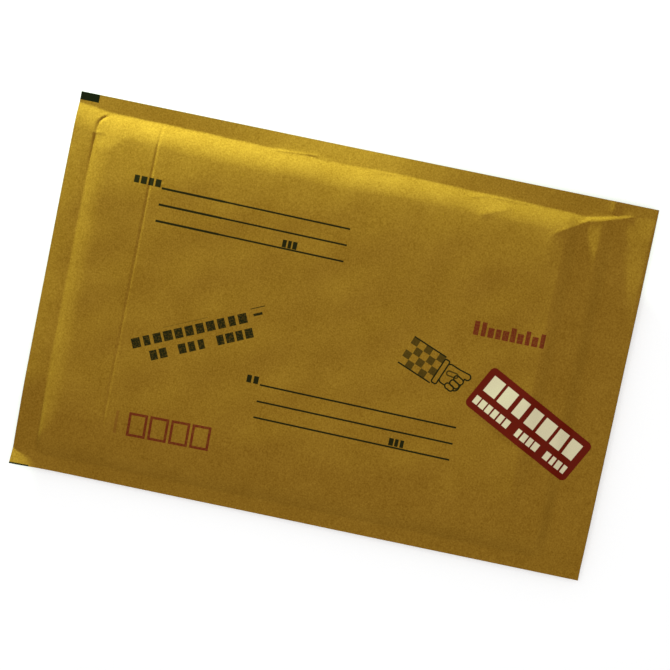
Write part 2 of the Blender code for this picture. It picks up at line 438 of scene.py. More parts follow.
def back_padding(x, y):
    """Depth of the back panel under the plane of the seals: it rests flat on the table."""
    side = settle(side_distance(x, y) / BACK_CLIMB)
    return (SEAL - SHEET) * side * mouth_share(x) * fold_share(x, y * 0)


print(f"full height {1000 * (SEAL + SHEET + front_padding(0.0, 0.0)):.2f} mm")

# %% [markdown]
# ### Marks of handling
# Each mark is a short function that gives its own height, so that it can be moved or
# weakened alone. A groove is a hump turned down. The hip is a sharp crest along a line of a
# few points: above it the side slope catches the lamp, below it the waves fall into shade.

# %% Creases, dart and hip
MARKS_FADE = 3 * MM
CREASE_X, CREASE_DEPTH, CREASE_HALF = -117.3 * MM, 0.33 * MM, 1.1 * MM
DART_X, DART_DEPTH, DART_HALF = -153.3 * MM, 0.8 * MM, 0.9 * MM
HIP_X = np.array([106, 113, 121.4, 125, 128.6, 134, 141.4, 151.4, 157]) * MM
HIP_Y = np.array([80.5, 85, 89.3, 92, 94.6, 96.5, 97.9, 100.7, 102.2]) * MM
HIP_RISE, HIP_ABOVE, HIP_BELOW = 0.6 * MM, 1.2 * MM, 2.5 * MM
PLEATS = (
    (-57, 97.1, -25, 99.3, 0.5, 1.0, 0.6),
    (-32, 98.7, -20, 97.2, 0.35, 0.9, 0.6),
    (2, 96.8, 22, 97.4, 0.3, 0.9, 0.6),
    (59, 93.2, 71, 96.4, 0.5, 1.0, 0.6),
    (69, 96.2, 96, 96.3, 0.5, 1.0, 0.6),
    (65, 84, 87, 92.8, 0.55, 3.0, 2.2),
    (136, 95.6, 149, 98.4, 0.35, 1.0, 0.6),
    (-156, 86.6, -149, 87.4, 0.3, 0.8, 0.6),
)


def crease(x, y):
    """The pressed line where the open end is folded over, deeper towards the upper side."""
    depth = CREASE_DEPTH * (0.6 + 0.5 * ease((y + 60 * MM) / (160 * MM)))
    return -depth * np.clip(1 - np.abs(x - CREASE_X) / CREASE_HALF, 0, 1)


def dart(x, y, half=DART_HALF):
    """A short valley beside the ridge, at its upper end, which leans over to the right."""
    depth = DART_DEPTH * ease((y - 55 * MM) / (35 * MM))
    lean = 4.5 * MM * np.clip((y - 90 * MM) / (7.5 * MM), 0, 1) ** 2.5
    return -depth * hump(x - DART_X - lean, half)


def crest(off, above, below):
    """1 on a line, falling off sharply above and below it."""
    return np.exp(-np.clip(off, 0, None) / above) * np.exp(np.clip(off, None, 0) / below)


def hip(x, y):
    """A crisp crest at the upper corner of the fold end."""
    rise = HIP_RISE * ease((x - HIP_X[0]) / (10 * MM)) * ease((HIP_X[-1] - x) / (8 * MM))
    return rise * crest(y - np.interp(x, HIP_X, HIP_Y), HIP_ABOVE, HIP_BELOW)


def pleats(x, y):
    """Small folds of the paper along the upper seal."""
    total = 0.0
    for x0, y0, x1, y1, rise, above, below in PLEATS:
        share = (x / MM - x0) / (x1 - x0)
        off = y / MM - y0 - (y1 - y0) * np.clip(share, 0, 1)
        fade = ease(4 * share) * ease(4 - 4 * share)
        total = total + rise * MM * fade * crest(off, above, below)
    return total


def swell(x, y):
    """Slow unevenness of a soft padded panel, a tenth of a millimetre high."""
    waves = ((47, 61, 0.4, 1.0), (29, -83, 2.3, 0.6), (-38, 33, 4.0, 0.5), (71, -27, 1.2, 0.6))
    total = 0.0
    for along, across, start, size in waves:
        total = total + size * np.sin(2 * np.pi * (x / along + y / across) / MM + start)
    return 0.06 * MM * total


BEND, BEND_AT, BEND_REACH = 0.27, -13 * MM, 54 * MM
CURL, CURL_REACH, CURL_REST = 0.38, 15 * MM, 0.09
FACET_RISE, FACET_X, FACET_LEFT, FACET_RIGHT = 0.65 * MM, 141.2 * MM, 1.3 * MM, 5 * MM


def border(x, y):
    """Height of the pressed borders: the upper one bends down, the lower one curls up.

    A small facet stands on the upper border near the fold.
    """
    upper = np.clip(y - upper_line(x), 0, None)
    lower = np.clip(lower_line(x) - y, 0, None)
    curl = CURL * hump(x - MOUTH, CURL_REACH) + CURL_REST * ease((x + 30 * MM) / (80 * MM))
    facet = FACET_RISE * crest(x - FACET_X, FACET_RIGHT, FACET_LEFT)
    facet = facet * ease((y - 100 * MM) / (3 * MM))
    return curl * lower - BEND * hump(x - BEND_AT, BEND_REACH) * upper + facet


def off_seal(x, y):
    """0 on the pressed borders, 1 a few millimetres inside them."""
    return ease(side_distance(x, y) / MARKS_FADE)


def marks(x, y):
    """All marks on the front panel; the long ones fade out on the pressed borders."""
    return (crease(x, y) + dart(x, y) + swell(x, y)) * off_seal(x, y) + hip(x, y) + pleats(x, y)


# %% Faces of the paper as heights
FOLD_RADIUS, FOLD_EDGE = 1.8 * MM, 0.35
INNER_SHARE, INNER_LOSS, INNER_RAMP = 0.97, 0.04, 20 * MM
DART_REACH = 2.5 * MM


def turned_over(x):
    """Share of the height left where the paper turns over at the fold."""
    inwards = np.clip((FOLD - x) / FOLD_RADIUS, 0, 1)
    return FOLD_EDGE + (1 - FOLD_EDGE) * np.sqrt(1 - (1 - inwards) ** 2)


def front_outside(x, y):
    """The printed face."""
    return SEAL + border(x, y) + turned_over(x) * (SHEET + front_padding(x, y) + marks(x, y))


def back_outside(x, y):
    """The face that rests on the table."""
    return SEAL + border(x, y) - turned_over(x) * (SHEET + back_padding(x, y))


def inner_share(x):
    """The inner faces stay a little further in, away from the mouth's thin edge."""
    return INNER_SHARE - INNER_LOSS * ease((x - MOUTH) / INNER_RAMP)


def front_inside(x, y):
    """The upper face towards the pocket, which gives way to the dart in a wider valley."""
    valley = dart(x, y, DART_REACH) * off_seal(x, y)
    return SEAL + inner_share(x) * front_padding(x, y) + valley


def back_inside(x, y):
    """The lower face towards the pocket."""
    return SEAL - inner_share(x) * back_padding(x, y)


# %% [markdown]
# ## The envelope as one closed sheet
# One way to give paper a thickness is the Solidify modifier. It thickens every face alike,
# also where both panels are pressed into one border. Here the outer and the inner faces are
# lofted as grids over the same heights, and joined along the rim of the mouth, so the
# border is one solid strip, as on the real sealed edge. The printed face gets a fine grid,
# because the lamp grazes it; the other faces get a coarse one. Two rows of unequal count
# are joined by a stitch of triangles.

# %% Grids and stitches
def runs(*parts):
    """Places along a line from (start, end, step) runs that follow one another."""
    places = []
    for start, end, step in parts:
        count = max(round((end - start) / step), 1)
        places += [start + (end - start) * k / count for k in range(count)]
    return np.array(places + [parts[-1][1]])


def panel(bm, xs, shares, height, edges=None, lines=None):
    """Rows of vertices over one panel, with its quads. Shares run from side to side."""
    low, high = lines if lines else (lambda x: -SIDE + 0 * x, lambda x: SIDE + 0 * x)
    x, share = np.meshgrid(xs, shares, indexing="ij")
    y = low(x) + (high(x) - low(x)) * share
    z = height(x, y)
    rows = []
    for i in range(len(xs)):
        row = [bm.verts.new((x[i, j], y[i, j], z[i, j])) for j in range(1, len(shares) - 1)]
        if edges:
            row = [edges[i][0], *row, edges[i][1]]
        else:
            ends = [bm.verts.new((x[i, j], y[i, j], z[i, j])) for j in (0, -1)]
            row = [ends[0], *row, ends[1]]
        rows.append(row)
    for near, far in zip(rows, rows[1:]):
        for corners in zip(near, far, far[1:], near[1:]):
            bm.faces.new(corners)
    return rows


def stitch(bm, first, second, axis):
    """Triangles between two rows of vertices, each ordered along the same axis."""
    i = j = 0
    while i < len(first) - 1 or j < len(second) - 1:
        corners = [first[i], second[j]]
        spent = j == len(second) - 1
        if spent or i < len(first) - 1 and first[i + 1].co[axis] <= second[j + 1].co[axis]:
            i += 1
            corners.append(first[i])
        else:
            j += 1
            corners.append(second[j])
        if len(set(corners)) == 3:
            bm.faces.new(corners)


def close_shell(bm, front, back):
    """Joins two panels along both sides and at the fold."""
    for side in (0, -1):
        stitch(bm, [row[side] for row in front], [row[side] for row in back], 0)
    stitch(bm, front[-1], back[-1], 1)


def close_rim(bm, outer, inner):
    """Joins the outer and inner panels round the open mouth."""
    for shell, pocket in zip(outer, inner):
        stitch(bm, shell[0], pocket[0], 1)
    for side in (0, -1):
        bm.faces.new((outer[0][0][side], inner[0][0][side], outer[1][0][side]))


def finished(name, bm, sharp=40):
    """Makes an object of the mesh, facing out, smooth but for its sharp edges."""
    bmesh.ops.recalc_face_normals(bm, faces=bm.faces)
    mesh = bpy.data.meshes.new(name)
    bm.to_mesh(mesh)
    bm.free()
    mesh.shade_smooth()
    mesh.set_sharp_from_angle(angle=math.radians(sharp))
    obj = bpy.data.objects.new(name, mesh)
    bpy.context.scene.collection.objects.link(obj)
    return obj


# %% The envelope
def fold_turn(steps=5):
    """Places along X round the fold, from its start to the very edge."""
    return [FOLD - FOLD_RADIUS * (1 - math.sin(math.pi / 2 * k / steps)) for k in range(steps + 1)]


def make_envelope():
    """The folded sheet: a fine printed face, and coarser back and inner faces."""
    fine_x = runs(
        (MOUTH, -150 * MM, 0.75 * MM),
        (-150 * MM, -121 * MM, 1.5 * MM),
        (-121 * MM, -114 * MM, 0.4 * MM),
        (-114 * MM, 106 * MM, 1.5 * MM),
        (106 * MM, 156 * MM, 0.8 * MM),
        (156 * MM, FOLD - FOLD_RADIUS, 1.5 * MM),
    )
    fine_x = np.array([*fine_x[:-1], *fold_turn()])
    fine_y = runs(
        (-SIDE, -94 * MM, 1 * MM),
        (-94 * MM, 80 * MM, 1.8 * MM),
        (80 * MM, 92 * MM, 0.7 * MM),
        (92 * MM, 102.4 * MM, 0.4 * MM),
        (102.4 * MM, SIDE, 1 * MM),
    )
    coarse_x = runs(
        (MOUTH, -140 * MM, 1.5 * MM),
        (-140 * MM, 100 * MM, 8 * MM),
        (100 * MM, FOLD - FOLD_RADIUS, 1.5 * MM),
    )
    coarse_x = np.array([*coarse_x[:-1], *fold_turn()])
    coarse_y = runs(
        (-SIDE, -80 * MM, 1.5 * MM),
        (-80 * MM, 76 * MM, 8 * MM),
        (76 * MM, SIDE, 1 * MM),
    )
    inner_x = coarse_x[coarse_x < FOLD - 1 * MM]
    inner_y = (coarse_y + SIDE) / (2 * SIDE)
    bm = bmesh.new()
    printed = bm.verts.layers.float.new("printed")
    front = panel(bm, fine_x, (fine_y + SIDE) / (2 * SIDE), front_outside)
    for row in front:
        for v in row:
            v[printed] = 1.0
    back = panel(bm, coarse_x, inner_y, back_outside)
    close_shell(bm, front, back)
    seams = (lower_line, upper_line)
    inner_front = panel(bm, inner_x, inner_y, front_inside, lines=seams)
    shared = [(row[0], row[-1]) for row in inner_front]
    inner_back = panel(bm, inner_x, inner_y, back_inside, edges=shared, lines=seams)
    stitch(bm, inner_front[-1], inner_back[-1], 1)
    close_rim(bm, (front, back), (inner_front, inner_back))
    return finished("paper_envelope", bm)


envelope = make_envelope()
envelope.data.calc_loop_triangles()
print("envelope:", len(envelope.data.loop_triangles), "triangles")

# %% [markdown]
# ## The bubble lining
# The lining is one web of film folded inside the paper, flat side out, bubbles in. Its
# plies follow the paper with a small gap. The bubbles stand on them in a staggered pattern.
# Modelling each by hand, or with an Array modifier, would leave them off the curved plies.
# Geometry nodes do it in one go: a staggered grid of points is shot at the plies, and
# where a ray lands a small dome is set along the surface's normal. No dome is set where
# the plies come too close, and the rows keep a little away from the seals and the mouth.

# %% The plies of the lining
FILM = 0.12 * MM
FILM_GAP = 0.35 * MM
FILM_INSET = 3 * MM
film_start = film_low.x + 0.3 * MM
film_end = film_high.x - 1 * MM


def film_front(x, y):
    """Outer face of the upper ply."""
    return front_inside(x, y) - FILM_GAP


def film_back(x, y):
    """Outer face of the lower ply."""
    return back_inside(x, y) + FILM_GAP


def make_plies():
    """A thin pouch of film: outer and inner faces, open at the mouth."""
    bm = bmesh.new()
    xs = runs(
        (film_start, -140 * MM, 1.5 * MM),
        (-140 * MM, 100 * MM, 6 * MM),
        (100 * MM, film_end, 1.5 * MM),
    )
    places = runs(
        (-SIDE, -80 * MM, 2 * MM),
        (-80 * MM, 76 * MM, 6 * MM),
        (76 * MM, SIDE, 1 * MM),
    )
    shares = (places + SIDE) / (2 * SIDE)
    outer = (lambda x: lower_line(x) + FILM_INSET, lambda x: upper_line(x) - FILM_INSET)
    inner = (
        lambda x: lower_line(x) + FILM_INSET + FILM,
        lambda x: upper_line(x) - FILM_INSET - FILM,
    )
    front = panel(bm, xs, shares, film_front, lines=outer)
    back = panel(bm, xs, shares, film_back, lines=outer)
    close_shell(bm, front, back)
    within = xs[:-1]
    front_in = panel(bm, within, shares, lambda x, y: film_front(x, y) - FILM, lines=inner)
    back_in = panel(bm, within, shares, lambda x, y: film_back(x, y) + FILM, lines=inner)
    close_shell(bm, front_in, back_in)
    close_rim(bm, (front, back), (front_in, back_in))
    for side in (0, -1):
        bm.faces.new((back[0][side], front_in[0][side], back_in[0][side]))
    return finished("film_lining", bm)


plies = make_plies()
print("plies:", len(plies.data.polygons), "faces")

# %% The bubbles, as a geometry node tree
BUBBLE_PITCH = 11 * MM
BUBBLE_RADIUS = 4.9 * MM
BUBBLE_HEIGHT = 3 * MM
BUBBLE_SINK = 0.1 * MM
BUBBLE_ROOM = 0.9 * MM
BUBBLE_LIP = 4 * MM
BUBBLE_BORDERS, BUBBLE_SHIFT = 18 * MM, -3.5 * MM
SHOT_LENGTH = 0.05


def staggered_points(graph, length, width, centre, pitch):
    """Points in rows across the film, every second row shifted by half a step."""
    row_step = pitch * math.sqrt(0.75)
    rows, columns = (length / row_step).floor(), (width / pitch).floor()
    grid = graph.add("GeometryNodeMeshGrid", inputs={
        "Size X": (rows - 1) * row_step,
        "Size Y": (columns - 1) * pitch,
        "Vertices X": rows,
        "Vertices Y": columns,
    })
    row = (graph.add("GeometryNodeInputIndex") / columns).floor()
    shift = graph.add("ShaderNodeCombineXYZ", inputs={"Y": row.math("MODULO", 2.0) * pitch / 2})
    offset = graph.add("ShaderNodeVectorMath", {"operation": "ADD"}, {0: shift, 1: centre})
    moved = graph.add("GeometryNodeSetPosition", inputs={"Geometry": grid, "Offset": offset})
    return graph.add("GeometryNodeMeshToPoints", inputs={"Mesh": moved})


def one_bubble(graph, radius, height):
    """A dome: a cylinder whose rings draw in towards the top, standing on its base."""
    settings = {"fill_type": "NGON"}
    sizes = {"Vertices": 12, "Side Segments": 3, "Radius": radius, "Depth": height}
    cylinder = graph.add("GeometryNodeMeshCylinder", settings, sizes)
    place = graph.add("ShaderNodeSeparateXYZ", inputs={0: graph.add("GeometryNodeInputPosition")})
    risen = place.out("Z") / height + 0.5
    drawn_in = (1 - 0.72 * risen.math("POWER", 2.5)).math("SQRT")
    ring = graph.add("ShaderNodeCombineXYZ", inputs={
        "X": place.out("X") * drawn_in,
        "Y": place.out("Y") * drawn_in,
        "Z": place.out("Z") + height / 2 - BUBBLE_SINK,
    })
    return graph.add("GeometryNodeSetPosition", inputs={"Geometry": cylinder, "Position": ring})


def bubbles_on(graph, plies, points, bubble, towards, least):
    """Bubbles where rays from the points, shot up or down, land on the plies."""
    ray = graph.add("ShaderNodeCombineXYZ", inputs={"Z": towards})
    shot = {"Target Geometry": plies, "Ray Direction": ray, "Ray Length": SHOT_LENGTH}
    hit = graph.add("GeometryNodeRaycast", inputs=shot, output="Is Hit")
    room = hit.out("Hit Distance").above(least)
    turn = graph.add(
        "FunctionNodeAlignRotationToVector", {"axis": "Z"}, {"Vector": hit.out("Hit Normal")})
    stood = graph.add("GeometryNodeInstanceOnPoints", inputs={
        "Points": points,
        "Selection": hit * room,
        "Instance": bubble,
        "Rotation": turn,
    })
    landed = {"Geometry": stood, "Position": hit.out("Hit Position")}
    return graph.add("GeometryNodeSetPosition", inputs=landed)


def bubble_tree(film_material):
    """Plies in, plies with bubbles out."""
    tree = bpy.data.node_groups.new("bubble film", "GeometryNodeTree")
    graph = Graph(tree)
    tree.interface.new_socket("Geometry", in_out="INPUT", socket_type="NodeSocketGeometry")
    tree.interface.new_socket("Centre", in_out="INPUT", socket_type="NodeSocketVector")
    for name in ("Length", "Width", "Pitch", "Radius", "Height", "Least Room"):
        tree.interface.new_socket(name, in_out="INPUT", socket_type="NodeSocketFloat")
    tree.interface.new_socket("Geometry", in_out="OUTPUT", socket_type="NodeSocketGeometry")
    given = graph.add("NodeGroupInput")
    points = staggered_points(
        graph, given.out("Length"), given.out("Width"), given.out("Centre"), given.out("Pitch"))
    bubble = one_bubble(graph, given.out("Radius"), given.out("Height"))
    joined = graph.add("GeometryNodeJoinGeometry", inputs={0: given})
    for towards in (1.0, -1.0):
        side = bubbles_on(graph, given, points, bubble, towards, given.out("Least Room"))
        tree.links.new(side.socket, joined.socket.node.inputs[0])
    real = graph.add("GeometryNodeRealizeInstances", inputs={0: joined})
    painted = {"Geometry": real, "Material": film_material}
    graph.add("NodeGroupOutput", inputs={0: graph.add("GeometryNodeSetMaterial", inputs=painted)})
    return tree


def run_tree(obj, tree, values):
    """Runs a geometry tree on an object once, and keeps the result as its plain mesh."""
    modifier = obj.modifiers.new(tree.name, "NODES")
    modifier.node_group = tree
    for socket in tree.interface.items_tree:
        if socket.in_out == "INPUT" and socket.name in values:
            modifier[socket.identifier] = values[socket.name]
    graph = bpy.context.evaluated_depsgraph_get()
    plain = bpy.data.meshes.new_from_object(obj.evaluated_get(graph))
    obj.modifiers.remove(modifier)
    obj.data = plain


# %% [markdown]
# ### The film's finish
# The film is thin, clear plastic that looks milky, because light is scattered many times
# between the bubbles. True glass would need many light bounces for little gain, so the
# finish is a half see-through plastic: a soft gloss, a pale colour that a slow noise
# clouds a little, and a fine bump for the crinkles of the film.

# %% The film material and the finished lining
FILM_DIM, FILM_BRIGHT = (0.70, 0.72, 0.72, 1), (0.86, 0.88, 0.88, 1)
CRINKLE_RISE = 0.0002


def film_finish():
    """Milky, half see-through plastic with a soft gloss."""
    material, graph = new_material("bubble film")
    place = graph.add("ShaderNodeTexCoord", output="Object")
    cloud = graph.noise(place, 60.0, 3.0)
    crinkle = graph.noise(place, 420.0, 4.0)
    film = graph.add("ShaderNodeBsdfPrincipled", inputs={
        "Base Color": graph.mixed(cloud, FILM_DIM, FILM_BRIGHT),
        "Roughness": 0.16 + 0.2 * cloud,
        "Transmission Weight": 0.35,
        "IOR": 1.5,
        "Normal": graph.bump(crinkle, CRINKLE_RISE, 0.5),
    })
    graph.add("ShaderNodeOutputMaterial", inputs={"Surface": film})
    return material


film = film_finish()
bubbles_start = film_start + BUBBLE_LIP
bubbles_end = FOLD - SECOND_WAVE_AT - SECOND_WAVE
run_tree(plies, bubble_tree(film), {
    "Centre": ((bubbles_start + bubbles_end) / 2, BUBBLE_SHIFT, SEAL),
    "Length": bubbles_end - bubbles_start,
    "Width": 2 * SIDE - BUBBLE_BORDERS,
    "Pitch": BUBBLE_PITCH,
    "Radius": BUBBLE_RADIUS,
    "Height": BUBBLE_HEIGHT,
    "Least Room": BUBBLE_HEIGHT + BUBBLE_ROOM,
})
plies.data.calc_loop_triangles()
print("lining:", len(plies.data.loop_triangles), "triangles")

# %% [markdown]
# ## The label
# The label is a thin sheet with round corners that follows every dip of the paper under
# it. A flat card laid on top would float over the waves. So a flat outline is cut into
# small squares, each point is lifted to the paper's height, and the sheet gets its
# thickness last.

# %% The label as a sheet on the paper
LABEL_LENGTH, LABEL_WIDTH, LABEL_RADIUS = 73.4 * MM, 26.9 * MM, 3 * MM
LABEL_TURN = math.radians(-27.3)
LABEL_SHEET, LABEL_GAP = 0.12 * MM, 0.1 * MM
LABEL_STEP, CORNER_STEPS = 1.5 * MM, 8
LABEL_CENTRE = (label_low + label_high) / 2 + Vector((-0.67, 0.34, 0)) * MM


def label_outline(bm):
    """One flat face: a rectangle with round corners."""
    points = []
    for side, end, start in ((1, 1, 0), (-1, 1, 90), (-1, -1, 180), (1, -1, 270)):
        middle_x = side * (LABEL_LENGTH / 2 - LABEL_RADIUS)
        middle_y = end * (LABEL_WIDTH / 2 - LABEL_RADIUS)
        for k in range(CORNER_STEPS + 1):
            angle = math.radians(start + 90 * k / CORNER_STEPS)
            out_x, out_y = LABEL_RADIUS * math.cos(angle), LABEL_RADIUS * math.sin(angle)
            points.append(bm.verts.new((middle_x + out_x, middle_y + out_y, 0)))
    bm.faces.new(points)


def make_label():
    """The outline cut into squares, laid on the paper and thickened."""
    bm = bmesh.new()
    label_outline(bm)
    for axis, half in ((Vector((1, 0, 0)), LABEL_LENGTH / 2), (Vector((0, 1, 0)), LABEL_WIDTH / 2)):
        count = round(2 * half / LABEL_STEP)
        for k in range(1, count):
            whole = bm.verts[:] + bm.edges[:] + bm.faces[:]
            cut = axis * (half * (2 * k / count - 1))
            bmesh.ops.bisect_plane(bm, geom=whole, plane_co=cut, plane_no=axis)
    turn = Matrix.Rotation(LABEL_TURN, 3, "Z")
    for v in bm.verts:
        v.co = turn @ v.co + LABEL_CENTRE
        v.co.z = front_outside(v.co.x, v.co.y) + LABEL_GAP
    top = bmesh.ops.extrude_face_region(bm, geom=bm.faces[:])["geom"]
    for v in top:
        if isinstance(v, bmesh.types.BMVert):
            v.co.z += LABEL_SHEET
    return finished("label_sheet", bm)


label = make_label()
centre = [round(1000 * c, 1) for c in LABEL_CENTRE]
print("label:", len(label.data.polygons), "faces, centre", centre)

# %% [markdown]
# ## Print, drawn by distance
# The print could be an image, but an image blurs up close and holds one fixed size. Here
# each bar, row and outline is a small formula on the place in millimetres: the distance to
# the shape's edge decides between paper and ink. The rows stand for words, as plain blocks
# of uneven width, so nothing can be read in them. Places were measured on the plane of the
# seals; the panel stands nearer to the camera than that, so each one is drawn in a little.

# %% Helpers for printed shapes
INK_EDGE = 0.14
VIEW_SHARE = 0.9913
VIEW_SHIFT = (0.08, 0.58)
BLOCK_HALF, BLOCK_SPREAD, SHORT_CHANCE = 0.3, 0.13, 0.45


def on_panel(x, y):
    """A place measured on the plane of the seals, moved to where it lies on the raised panel."""
    return x * VIEW_SHARE + VIEW_SHIFT[0], y * VIEW_SHARE + VIEW_SHIFT[1]


def inked(distance):
    """1 where a distance inside a shape's edge is positive, with a soft printed edge."""
    return (distance / INK_EDGE + 0.5).clamped()


def local(x, y, origin, degrees=0.0):
    """Coordinates along and across a piece of print, from its origin."""
    along, across = x - origin[0], y - origin[1]
    if not degrees:
        return along, across
    cosine, sine = math.cos(math.radians(degrees)), math.sin(math.radians(degrees))
    return along * cosine + across * sine, across * cosine - along * sine


def bar(u, v, length, height):
    """A rectangle from the origin along u, centred on v."""
    return inked(length / 2 - abs(u - length / 2)) * inked(height / 2 - abs(v))


def blocks(u, v, groups, pitch, height, seed, uneven=0.0):
    """A row of blocks of uneven width, in groups of (first cell, count), some made shorter."""
    cell = (u / pitch).floor()
    chance = u.graph.add("ShaderNodeTexWhiteNoise", {"noise_dimensions": "1D"}, {"W": cell + seed})
    half_width = pitch * (BLOCK_HALF + BLOCK_SPREAD * chance)
    wide = inked(half_width - abs(u - (cell + 0.5) * pitch))
    if uneven:
        tall = height / 2 * (1 - uneven * chance.above(SHORT_CHANCE))
        row = wide * inked(tall - abs(v + height / 2 - tall))
    else:
        row = wide * inked(height / 2 - abs(v))
    within = 0.0
    for first, count in groups:
        within = within + inked(count * pitch / 2 - abs(u - (first + count / 2) * pitch))
    return row * within


def frames(u, v, count, pitch, width, height, stroke):
    """A row of thin outlined rectangles."""
    middle = ((u / pitch).floor() + 0.5) * pitch
    across, up = abs(u - middle), abs(v)
    outer = inked(width / 2 - across) * inked(height / 2 - up)
    inner = inked(width / 2 - stroke - across) * inked(height / 2 - stroke - up)
    return (outer - inner) * inked(count * pitch / 2 - abs(u - count * pitch / 2))


def union(*masks):
    """The darkest of several masks at each place."""
    total = masks[0]
    for mask in masks[1:]:
        total = total.most(mask)
    return total


# %% [markdown]
# ### The pointing hand
# A small pointing hand is an old printers' ornament. This one is put together from plain
# shapes: a chequered sleeve, a cuff, a round-cornered palm and fingers that are capsules.
# A capsule is all places within a radius of a short line, so its distance is one formula,
# and an outline is inked where the distance is near nothing.

# %% The pointing hand
HAND_ORIGIN, HAND_TURN = on_panel(43.0, 2.2), -21.5
HAND_LINE = 0.85
SLEEVE, SLEEVE_HALF = 21.5, 8.6
CHECK = 4.3
CUFF = 3.2
PALM = (30.6, 0.8, 6.2, 6.0)
POINTER = ((31.0, 4.9), (37.6, 5.6), 1.8)
CURLED = (
    ((33.0, 1.6), (35.6, 1.2), 1.7),
    ((32.4, -1.6), (34.8, -2.0), 1.7),
    ((30.8, -4.6), (33.0, -4.8), 1.6),
)
THUMB = ((27.6, 1.8), (31.6, 2.6), 1.3)


def capsule(u, v, start, end, radius):
    """Distance to a capsule's edge, positive inside."""
    run = (end[0] - start[0], end[1] - start[1])
    length = math.hypot(*run)
    along, across = local(u, v, start, math.degrees(math.atan2(run[1], run[0])))
    past = along - along.most(0.0).least(length)
    return radius - (past * past + across * across).math("SQRT")


def round_box(u, v, centre_u, centre_v, half_u, half_v, corner=2.5):
    """Distance to a round-cornered box's edge, positive inside."""
    out_u = (abs(u - centre_u) - (half_u - corner)).most(0.0)
    out_v = (abs(v - centre_v) - (half_v - corner)).most(0.0)
    return corner - (out_u * out_u + out_v * out_v).math("SQRT")


def outline(distance, width=HAND_LINE):
    """A line along the edge where a distance is nothing."""
    return inked(width / 2 - abs(distance))


def pointing_hand(x, y):
    """The whole ornament, from its sleeve to its pointing finger."""
    u, v = local(x, y, HAND_ORIGIN, HAND_TURN)
    sleeve = bar(u, v, SLEEVE, 2 * SLEEVE_HALF)
    checks = ((u / CHECK).floor() + (v / CHECK).floor()).math("MODULO", 2.0)
    checks = sleeve * abs(checks)
    hem = bar(u, abs(v) - SLEEVE_HALF, SLEEVE, HAND_LINE)
    cuff = outline(round_box(u, v, SLEEVE + CUFF / 2, 0.0, CUFF / 2, SLEEVE_HALF - 1, 1.0))
    fingers = [capsule(u, v, *finger) for finger in (POINTER, *CURLED)]
    whole = union(round_box(u, v, *PALM), *fingers)
    lines = [outline(finger) for finger in fingers[1:]] + [outline(capsule(u, v, *THUMB)) * 0.8]
    past_cuff = inked(u - SLEEVE - CUFF)
    return union(checks * 0.76, hem, cuff, union(outline(whole), *lines) * past_cuff)


# %% [markdown]
# ### Address lines, stamps and marks
# Everything else on the front is laid out as a short list of pieces of print, each with
# its origin, its slant and its size in millimetres.

# %% What is printed on the front
LINE, HEAVY_LINE = 1.0, 1.25
LINE_SLANT = -0.6
FROM_LINES = ((-111.2, 63.5), (-111.2, 54.15), (-111.2, 44.8))
TO_LINES = ((-34.5, -34.8), (-34.5, -44.3), (-34.5, -53.7))
SMALL_WORDS = (
    ((-128.2, 66.0), 4, 4.1),
    ((-38.4, 46.9), 3, 3.0),
    ((-43.2, -32.5), 2, 4.0),
    ((43.8, -51.5), 3, 3.1),
)
WORD_HEIGHT = 4.3
STAMP_TURN = 24.5


def black_print(x, y):
    """Two fields in black: the lines, small words and the hand, then the slanted stamp."""
    masks = []
    for lines, length in ((FROM_LINES, 109.2), (TO_LINES, 114.5)):
        for start in lines:
            u, v = local(x, y, on_panel(*start), LINE_SLANT)
            masks.append(bar(u, v, length * VIEW_SHARE, LINE))
            if lines is FROM_LINES:
                masks.append(bar(u, v, length / 3, HEAVY_LINE))
    for origin, count, pitch in SMALL_WORDS:
        u, v = local(x, y, on_panel(*origin), LINE_SLANT)
        masks.append(blocks(u, v, ((0, count),), pitch, WORD_HEIGHT, origin[0]))
    u, v = local(x, y, on_panel(-111.4, -26.9), STAMP_TURN)
    dash = bar(u - 71.5, v - 0.5, 5.2, 1.5)
    thin = bar(u - 20.0, v - 5.0, 26.0, 0.25) * 0.6
    thin_end = bar(u - 70.6, v - 4.2, 8.4, 0.5) * 0.9
    stamp = union(blocks(u, v, ((0, 11),), 6.2, 5.7, 3.0), dash, thin, thin_end)
    u, v = local(x, y, on_panel(-99.9, -31.6), STAMP_TURN)
    stamp = union(stamp, blocks(u, v, ((0, 2), (3, 3), (7, 4)), 5.55, 5.6, 7.0))
    return union(*masks, pointing_hand(x, y)), stamp


def red_print(x, y):
    """A small word and a wide one in brown red, with a faint upright mark."""
    u, v = local(x, y, on_panel(77.5, 22.2))
    small = blocks(u, v, ((0, 10),), 4.2, 8.0, 11.0, uneven=0.3)
    u, v = local(x, y, on_panel(-105.0, -72.3), 1.0)
    wide = frames(u, v, 4, 12.2, 10.9, 13.8, 1.5)
    faint = bar(u + 6.8, v, 1.6, 13.0) * 0.35
    return union(small, wide, faint)


MARKS_X = -166.5


def corner_marks(x, y, printed):
    """Black printer's marks at the mouth: one on the front, one mostly behind the lower edge."""
    u = x - MARKS_X
    front = bar(u, y - 106.0, 10.8, 5.2)
    behind = bar(u, y + 106.0, 11.0, 4.6) * (1 - printed)
    sliver = bar(u, y + 107.9, 11.0, 1.5)
    return union(front * printed, behind, sliver)


# %% [markdown]
# ### Kraft paper
# Kraft paper has no gloss to speak of. Its look comes from long fibres: fine specks and
# short streaks of lighter and darker brown, slow clouds where the pulp lay thicker, and a
# faint tooth that a grazing lamp brings out. Specks, streaks and clouds tint the colour,
# and the specks and streaks also feed a bump of a few hundredths of a millimetre. The worn
# inks are thinner where the specks are dark.

# %% The kraft material
KRAFT_DARK = linear(103, 66, 0)
KRAFT_LIGHT = linear(165, 126, 43)
BLACK_INK = linear(20, 25, 9)
RED_INK = linear(104, 38, 20)
GRAIN_RISE = 0.00004
FIBRE_SCALE = (900.0, 420.0, 700.0)


